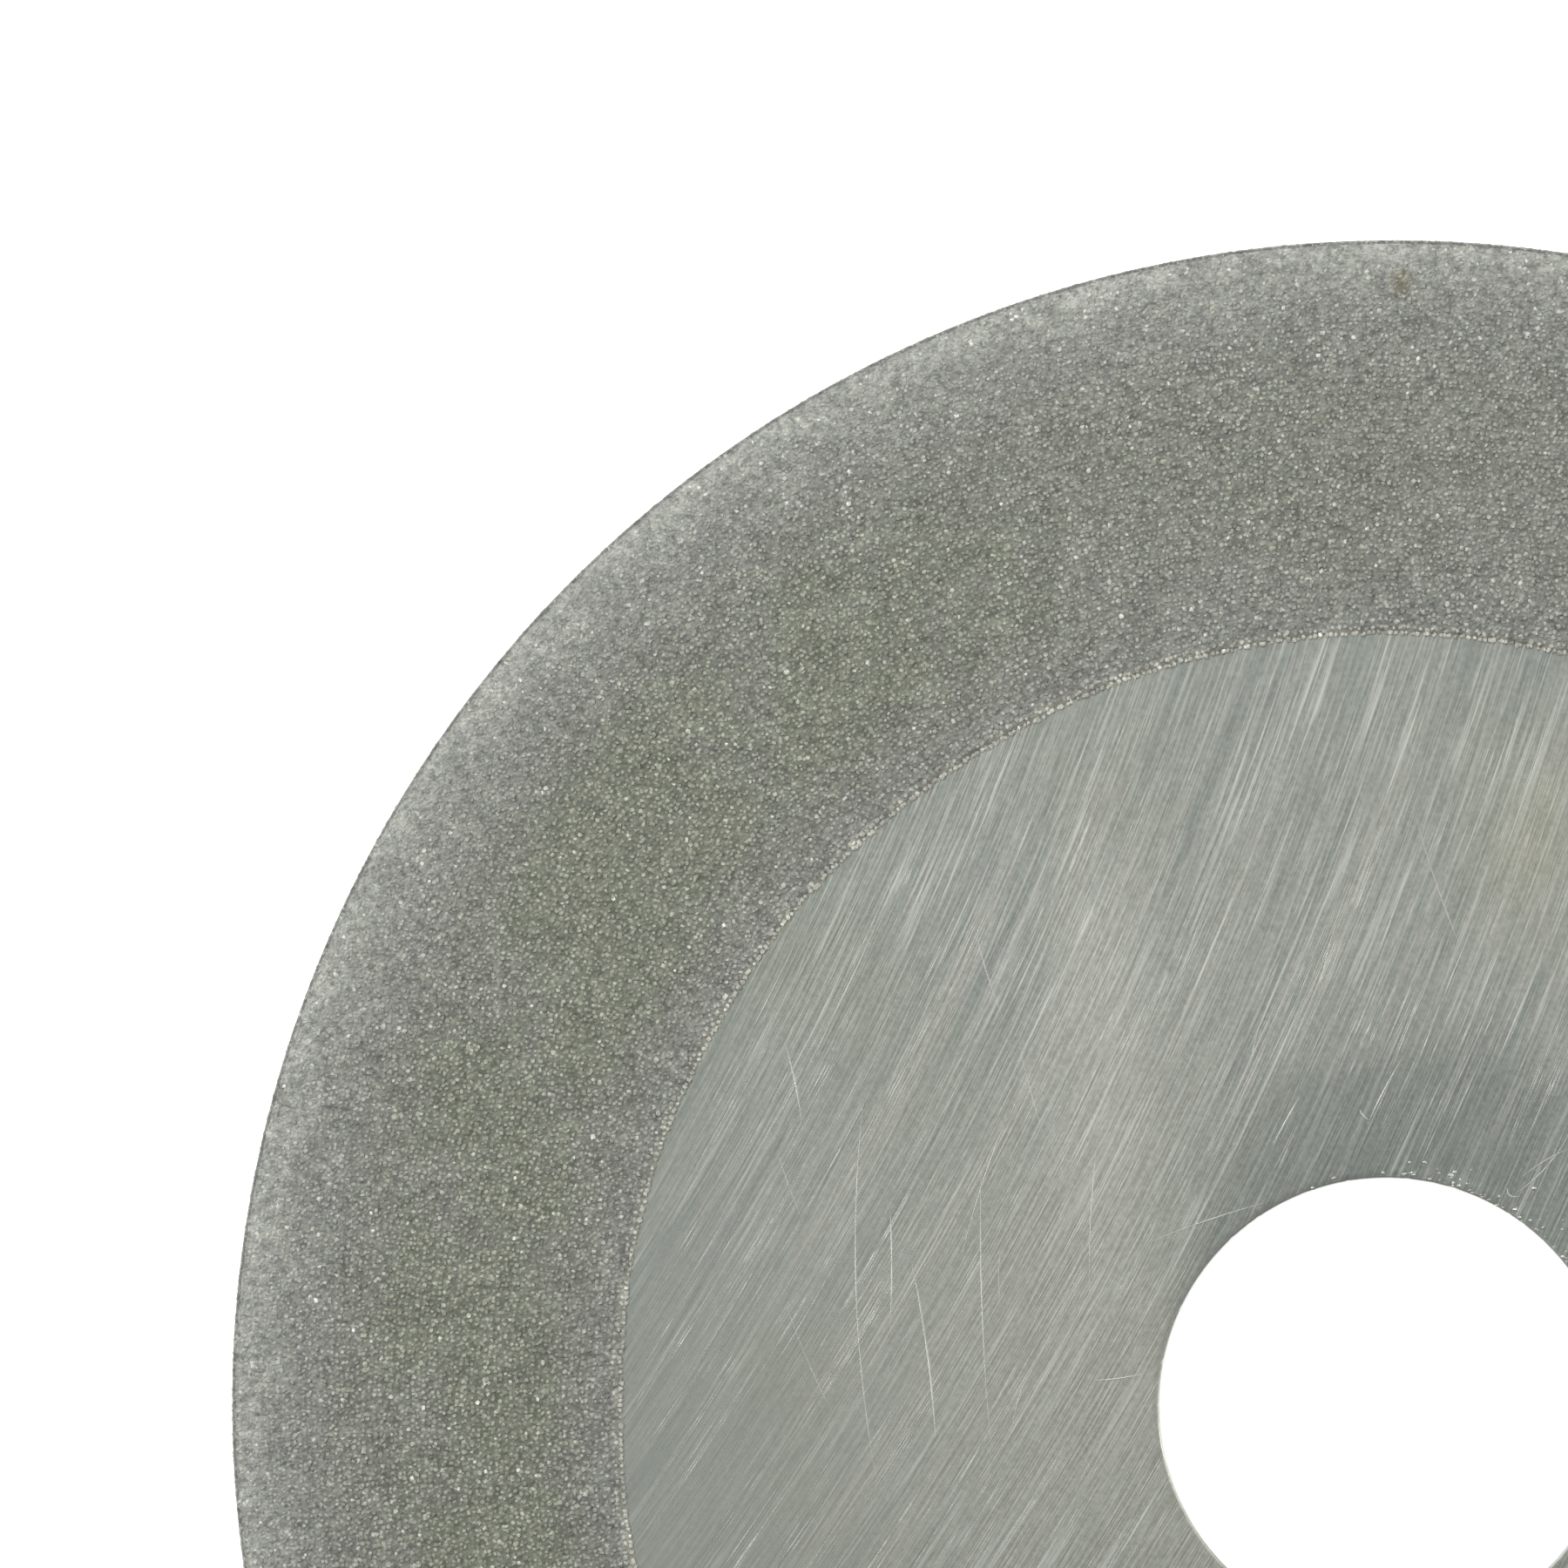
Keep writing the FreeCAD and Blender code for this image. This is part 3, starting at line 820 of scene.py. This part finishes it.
def mask_edge(tree, place):
    """From 1 to 0 just outside the hub, where the coat is painted paler: painted light over the shaded
    step.
    """
    from_axis = add_node(tree, "ShaderNodeVectorMath", {0: place}, operation="LENGTH").outputs[1]
    edge = {"Value": from_axis, 1: HUB_R - 0.1 * MM, 2: HUB_R + 0.25 * MM, 3: 0.85, 4: 0.0}
    near = add_node(tree, "ShaderNodeMapRange", edge)
    patches = {"Vector": place, "Scale": 1 / (1.5 * MM), "Detail": 2.0}
    patchy = add_node(tree, "ShaderNodeTexNoise", patches)
    broken = add_node(tree, "ShaderNodeMapRange", {"Value": patchy, 1: 0.4, 2: 0.6, 3: 0.35, 4: 1.0})
    return add_node(tree, "ShaderNodeMath", {0: near, 1: broken}, operation="MULTIPLY")


def unevenness_and_rim_light_shade(tree, place):
    """A factor near 1 over the coat: clumps of 2 or 3 crystals, clouds, and the rim's painted light and
    shade.
    """
    fine = {"Vector": place, "Scale": 1 / (0.42 * MM), "Detail": 1.0}
    clump = add_node(tree, "ShaderNodeTexNoise", fine)
    clump = add_node(tree, "ShaderNodeMapRange", {"Value": clump, 1: 0.25, 2: 0.75, 3: 0.7, 4: 1.3})
    broad = {"Vector": place, "Scale": 1 / (1.8 * MM), "Detail": 3.0}
    cloud = add_node(tree, "ShaderNodeTexNoise", broad)
    cloud = add_node(tree, "ShaderNodeMapRange", {"Value": cloud, 1: 0.25, 2: 0.75, 3: 0.83, 4: 1.17})
    uneven = add_node(tree, "ShaderNodeMath", {0: clump, 1: cloud}, operation="MULTIPLY")
    # The rim's painted light and shade.
    rim_lit = {0: uneven, 1: rim_light_and_shade(tree, place)}
    return add_node(tree, "ShaderNodeMath", rim_lit, operation="MULTIPLY")


def plated_nickel():
    """Electroplated nickel, matte and pebbled over the grit: dull olive grey between crystals.

    A pebble is about as wide as the 0.18 mm grit under it.
    """
    material, tree, shader = new_material("matte_electroplated_nickel")
    place = add_node(tree, "ShaderNodeTexCoord").outputs["Object"]
    pebble_inputs = {"Vector": place, "Scale": 1 / (0.16 * MM), "Detail": 2.0}
    pebbles = add_node(tree, "ShaderNodeTexNoise", pebble_inputs)
    # Painted shade: the pebbles' hollows are painted darker.
    hollow_shade = add_node(tree, "ShaderNodeMapRange", {"Value": pebbles, 1: 0.3, 2: 0.5})
    shaded = {0: hollow_shade, 6: paint("#80827d"), 7: paint("#979893")}
    nickel = add_node(tree, "ShaderNodeMix", shaded, data_type="RGBA").outputs[2]
    dulled = {0: olive_band(tree, place), 6: nickel, 7: paint("#878a7d")}
    nickel = add_node(tree, "ShaderNodeMix", dulled, data_type="RGBA").outputs[2]
    # Painted light: the nickel at the mask's edge is painted paler, over the shaded step.
    thin = {0: mask_edge(tree, place), 6: nickel, 7: paint("#bfbeb2")}
    nickel = add_node(tree, "ShaderNodeMix", thin, data_type="RGBA").outputs[2]
    nickel = coolant_stain(tree, place, nickel)
    lumpy = {0: nickel, "Scale": unevenness_and_rim_light_shade(tree, place)}
    nickel = add_node(tree, "ShaderNodeVectorMath", lumpy, operation="SCALE").outputs[0]
    bump = {"Strength": 1.0, "Distance": 0.03 * MM, "Height": pebbles}
    dull = add_node(tree, "ShaderNodeMapRange", {"Value": pebbles, 1: 0.3, 2: 0.7, 3: 0.6, 4: 0.42})
    tree.links.new(nickel, shader.inputs["Base Color"])
    tree.links.new(dull.outputs[0], shader.inputs["Roughness"])
    tree.links.new(add_node(tree, "ShaderNodeBump", bump).outputs[0], shader.inputs["Normal"])
    shader.inputs["Metallic"].default_value = 1.0
    return material


def diamond():
    """Synthetic diamond grit, crushed: glassy grains from grey to pale yellow-green.

    One in ten is paler, and a few in a thousand are painted nearly white, as painted sparkle. Each
    grain's tone says which it is, and what is left of 7.3 tones past a whole number tints it pink
    or green.
    """
    material, tree, shader = new_material("synthetic_diamond_grit")
    place = add_node(tree, "ShaderNodeTexCoord").outputs["Object"]
    tone = add_node(tree, "ShaderNodeAttribute", attribute_name="tone").outputs["Fac"]
    common = add_node(tree, "ShaderNodeMapRange", {"Value": tone, 1: 0.0, 2: 0.9})
    grains = {0: common, 6: paint("#969991"), 7: paint("#abaea5")}
    grain = add_node(tree, "ShaderNodeMix", grains, data_type="RGBA").outputs[2]
    rare = add_node(tree, "ShaderNodeMapRange", {"Value": tone, 1: 0.9, 2: 1.0})
    pale = {0: rare, 6: grain, 7: paint("#cfd1c7")}
    grain = add_node(tree, "ShaderNodeMix", pale, data_type="RGBA").outputs[2]
    # Painted sparkle: a few grains in a thousand are painted nearly white.
    painted_sparkle = add_node(tree, "ShaderNodeMapRange", {"Value": tone, 1: 0.996, 2: 0.998})
    sparkled = {0: painted_sparkle, 6: grain, 7: paint("#f8f8f2")}
    grain = add_node(tree, "ShaderNodeMix", sparkled, data_type="RGBA").outputs[2]
    grade = add_node(tree, "ShaderNodeMath", {0: tone, 1: 7.3}, operation="MULTIPLY")
    grade = add_node(tree, "ShaderNodeMath", {0: grade}, operation="FRACT")
    sorts = {0: grade, 6: paint("#fbf5f7"), 7: paint("#f8faef")}
    sort = add_node(tree, "ShaderNodeMix", sorts, data_type="RGBA").outputs[2]
    tints = ((1.0, sort), (olive_band(tree, place), paint("#f7f9ec")))
    for share, tint in tints:
        tinted = {0: share, 6: grain, 7: tint}
        mixed = add_node(tree, "ShaderNodeMix", tinted, data_type="RGBA", blend_type="MULTIPLY")
        grain = mixed.outputs[2]
    # Painted light: the grains at the mask's edge are painted paler.
    clear = {0: mask_edge(tree, place), 6: grain, 7: paint("#dfddd0")}
    grain = add_node(tree, "ShaderNodeMix", clear, data_type="RGBA").outputs[2]
    grain = coolant_stain(tree, place, grain)
    lumpy = {0: grain, "Scale": unevenness_and_rim_light_shade(tree, place)}
    grain = add_node(tree, "ShaderNodeVectorMath", lumpy, operation="SCALE").outputs[0]
    clean = add_node(tree, "ShaderNodeMapRange", {"Value": tone, 1: 0.5, 2: 1.0, 3: 0.5, 4: 0.3})
    tree.links.new(grain, shader.inputs["Base Color"])
    tree.links.new(clean.outputs[0], shader.inputs["Roughness"])
    shader.inputs["IOR"].default_value = 2.2
    return material


# ---------------------------------------------------------------- the studio


def camera():
    """A long lens over the upper left of the wheel, tipped a little from straight down."""
    data = bpy.data.cameras.new("camera")
    data.lens, data.sensor_width = FOCAL_MM, SENSOR_MM
    data.clip_start, data.clip_end = 0.01, 10
    back = Vector((
        math.sin(VIEW_TILT) * math.cos(VIEW_SIDE),
        math.sin(VIEW_TILT) * math.sin(VIEW_SIDE),
        math.cos(VIEW_TILT),
    ))
    turn = Vector((0, 0, 1)).rotation_difference(back)
    piece = bpy.data.objects.new("camera", data)
    piece.rotation_mode = "QUATERNION"
    piece.rotation_quaternion = turn
    piece.location = Vector((0, 0, PLATE_T)) + turn @ Vector(VIEW_FROM)
    bpy.context.scene.collection.objects.link(piece)
    bpy.context.scene.camera = piece


def softbox(name, place, width, brightness):
    """A flat square lamp that faces the middle of the wheel, as bright as brightness all over.

    Its power is its brightness times pi times its area.
    """
    data = bpy.data.lights.new(name, "AREA")
    data.shape, data.size = "SQUARE", width
    data.energy = brightness * math.pi * width**2
    piece = bpy.data.objects.new(name, data)
    piece.location = place
    piece.rotation_mode = "QUATERNION"
    piece.rotation_quaternion = Vector(place).to_track_quat("Z", "Y")
    bpy.context.scene.collection.objects.link(piece)


def white_table():
    """A square table of backlit white acrylic, 6 metres wide, just under the wheel."""
    half, below = 3.0, 0.05 * MM
    corners = np.array([(-half, -half), (half, -half), (half, half), (-half, half)])
    points = np.concatenate([corners, np.full((4, 1), -below)], axis=1)
    floor = mesh_object("table", points, np.array([[0, 1, 2, 3]]))
    material, _, shader = new_material("backlit_white_acrylic")
    shader.inputs["Base Color"].default_value = paint("#f2f2f0")
    shader.inputs["Roughness"].default_value = 0.6
    shader.inputs["Emission Color"].default_value = paint("#ffffff")
    shader.inputs["Emission Strength"].default_value = 0.75
    floor.data.materials.append(material)


def pale_room():
    """A room that is pale at the horizon and darkens smoothly towards a dim ceiling."""
    world = bpy.data.worlds.new("room")
    bpy.context.scene.world = world
    world.use_nodes = True
    sky = world.node_tree
    outward = add_node(sky, "ShaderNodeTexCoord").outputs["Generated"]
    rise = add_node(sky, "ShaderNodeSeparateXYZ", {0: outward}).outputs[2]
    rising = {"Value": rise, 1: 0.0, 2: 0.6}
    share = add_node(sky, "ShaderNodeMapRange", rising, interpolation_type="SMOOTHSTEP")
    shades = {0: share, 6: paint("#dcdddc"), 7: paint("#757676")}
    shade = add_node(sky, "ShaderNodeMix", shades, data_type="RGBA").outputs[2]
    sky.links.new(shade, sky.nodes["Background"].inputs[0])


def studio():
    """The table, the room, and softboxes above, to the left and to the right."""
    white_table()
    pale_room()
    softbox("overhead", (-0.5, 0.5, 0.98), 1.3, 0.95)
    softbox("fill", (0.5, 0.3, 1.1), 0.8, 0.9)
    softbox("key_above", (-0.11, 0.63, 0.77), 0.25, 8)
    softbox("key_left", (-0.64, 0.09, 0.77), 0.25, 8)
    softbox("side", (0.9, 0.15, 0.7), 0.3, 6)
    bpy.context.scene.view_settings.view_transform = "Standard"


plate = steel_plate()
plate.data.materials.append(ground_steel())
# Steel with painted glints, for the lips, the crumbs and the drag marks.
lip_glint_steel = glinting_steel("lip_steel_painted_glints", "#a9ada6", "#dcded6", 1.2 * MM)
for piece in (ground_scratches(), bore_burrs()):
    piece.data.materials.append(lip_glint_steel)
drag_glint_steel = glinting_steel("drag_mark_steel_painted_glints", "#bfc2b8", "#dcddd3", 3 * MM)
handling_scratches().data.materials.append(drag_glint_steel)
coat = nickel_coat()
coat.data.materials.append(plated_nickel())
grit_material = diamond()
for piece in diamond_grit():
    piece.data.materials.append(grit_material)
camera()
studio()
